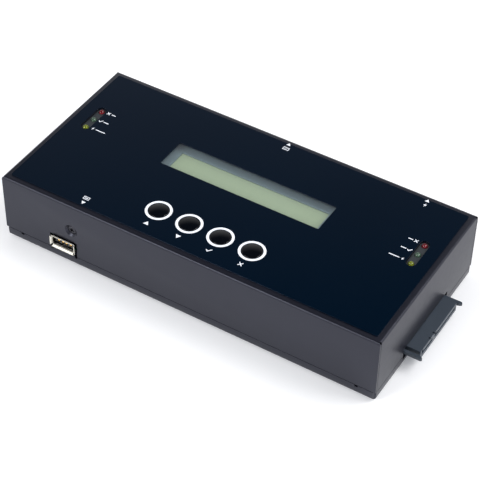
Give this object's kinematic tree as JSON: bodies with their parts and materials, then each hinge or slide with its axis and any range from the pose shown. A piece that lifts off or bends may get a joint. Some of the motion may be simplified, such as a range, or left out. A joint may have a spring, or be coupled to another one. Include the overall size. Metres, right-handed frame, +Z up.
{
  "type": "hard drive duplicator",
  "caption": "Low folded-steel case with a character display, push buttons and status lamps on its lid, and a drive connector in each end wall.",
  "frame": {"origin": "on the surface the rubber feet stand on, below the middle of the whole outline", "axes": "+X along the case to the right as its user sees it, +Y to the back wall with the serial port and power jack, +Z up through the lid"},
  "size_m": [0.2238, 0.1042, 0.0404],
  "materials": {
    "powder_coated_steel": "satin black powder coat",
    "printed_overlay": "glossy near-black printed film",
    "clear_lens": "clear polished plastic pane",
    "display_frame_metal": "satin dark metal",
    "display_green": "yellow-green reflective display glass",
    "white_plastic": "matt off-white moulding",
    "grey_plastic": "matt dark grey moulding",
    "connector_plastic": "matt blue-grey glass-filled moulding",
    "red_lamp": "clear red epoxy",
    "green_lamp": "clear green epoxy",
    "yellow_green_lamp": "clear yellow-green epoxy",
    "black_rubber": "matt rubber",
    "circuit_board": "green solder mask on glass-fibre board",
    "ribbon_cable": "grey ribbon cable",
    "black_steel": "blackened steel",
    "button_plastic": "glossy black moulding",
    "bright_plated_steel": "bright nickel plate",
    "black_plastic": "matt black moulding"
  },
  "bodies": {
    "case": {"base_tray": "powder_coated_steel", "board_link_ribbon": "ribbon_cable", "controller_chip": "black_plastic", "display_backlight": "white_plastic", "display_board": "circuit_board", "display_frame": "display_frame_metal", "display_glass": "display_green", "display_header": "black_plastic", "display_lens": "clear_lens", "drive_connector_left": "connector_plastic", "drive_connector_right": "connector_plastic", "front_case_screw": "black_steel", "graphic_overlay": "printed_overlay", "lamp_fail_left": "red_lamp", "lamp_fail_right": "red_lamp", "lamp_holder_left": "grey_plastic", "lamp_holder_right": "grey_plastic", "lamp_pass_left": "green_lamp", "lamp_pass_right": "green_lamp", "lamp_powered_left": "yellow_green_lamp", "lamp_powered_right": "yellow_green_lamp", "main_board": "circuit_board", "main_board_screw_front_left": "bright_plated_steel", "main_board_screw_front_right": "bright_plated_steel", "main_board_screw_rear_left": "bright_plated_steel", "main_board_screw_rear_right": "bright_plated_steel", "panel_board": "circuit_board", "panel_board_screw_front_left": "bright_plated_steel", "panel_board_screw_front_right": "bright_plated_steel", "panel_board_screw_rear_left": "bright_plated_steel", "panel_board_screw_rear_right": "bright_plated_steel", "power_jack_body": "black_plastic", "power_jack_pin": "bright_plated_steel", "rear_case_screw_left": "black_steel", "rear_case_screw_right": "black_steel", "rubber_foot_front_left": "black_rubber", "rubber_foot_front_right": "black_rubber", "rubber_foot_rear_left": "black_rubber", "rubber_foot_rear_right": "black_rubber", "serial_insulator": "black_plastic", "serial_jackscrew_left": "bright_plated_steel", "serial_jackscrew_right": "bright_plated_steel", "serial_shell": "bright_plated_steel", "switch_body_down": "black_plastic", "switch_body_esc": "black_plastic", "switch_body_ok": "black_plastic", "switch_body_up": "black_plastic", "top_cover": "powder_coated_steel", "usb_shell": "bright_plated_steel", "usb_tongue": "white_plastic"},
    "button_up": {"button_cap_up": "button_plastic", "switch_plunger_up": "black_plastic"},
    "button_down": {"button_cap_down": "button_plastic", "switch_plunger_down": "black_plastic"},
    "button_ok": {"button_cap_ok": "button_plastic", "switch_plunger_ok": "black_plastic"},
    "button_esc": {"button_cap_esc": "button_plastic", "switch_plunger_esc": "black_plastic"}
  },
  "joints": [
    {"name": "button_up_press", "type": "slide", "parent": "case", "child": "button_up", "axis": [0, 0, -1], "range_m": [0, 0.0005], "stiffness_N_per_m": 3000},
    {"name": "button_down_press", "type": "slide", "parent": "case", "child": "button_down", "axis": [0, 0, -1], "range_m": [0, 0.0005], "stiffness_N_per_m": 3000},
    {"name": "button_ok_press", "type": "slide", "parent": "case", "child": "button_ok", "axis": [0, 0, -1], "range_m": [0, 0.0005], "stiffness_N_per_m": 3000},
    {"name": "button_esc_press", "type": "slide", "parent": "case", "child": "button_esc", "axis": [0, 0, -1], "range_m": [0, 0.0005], "stiffness_N_per_m": 3000}
  ]
}
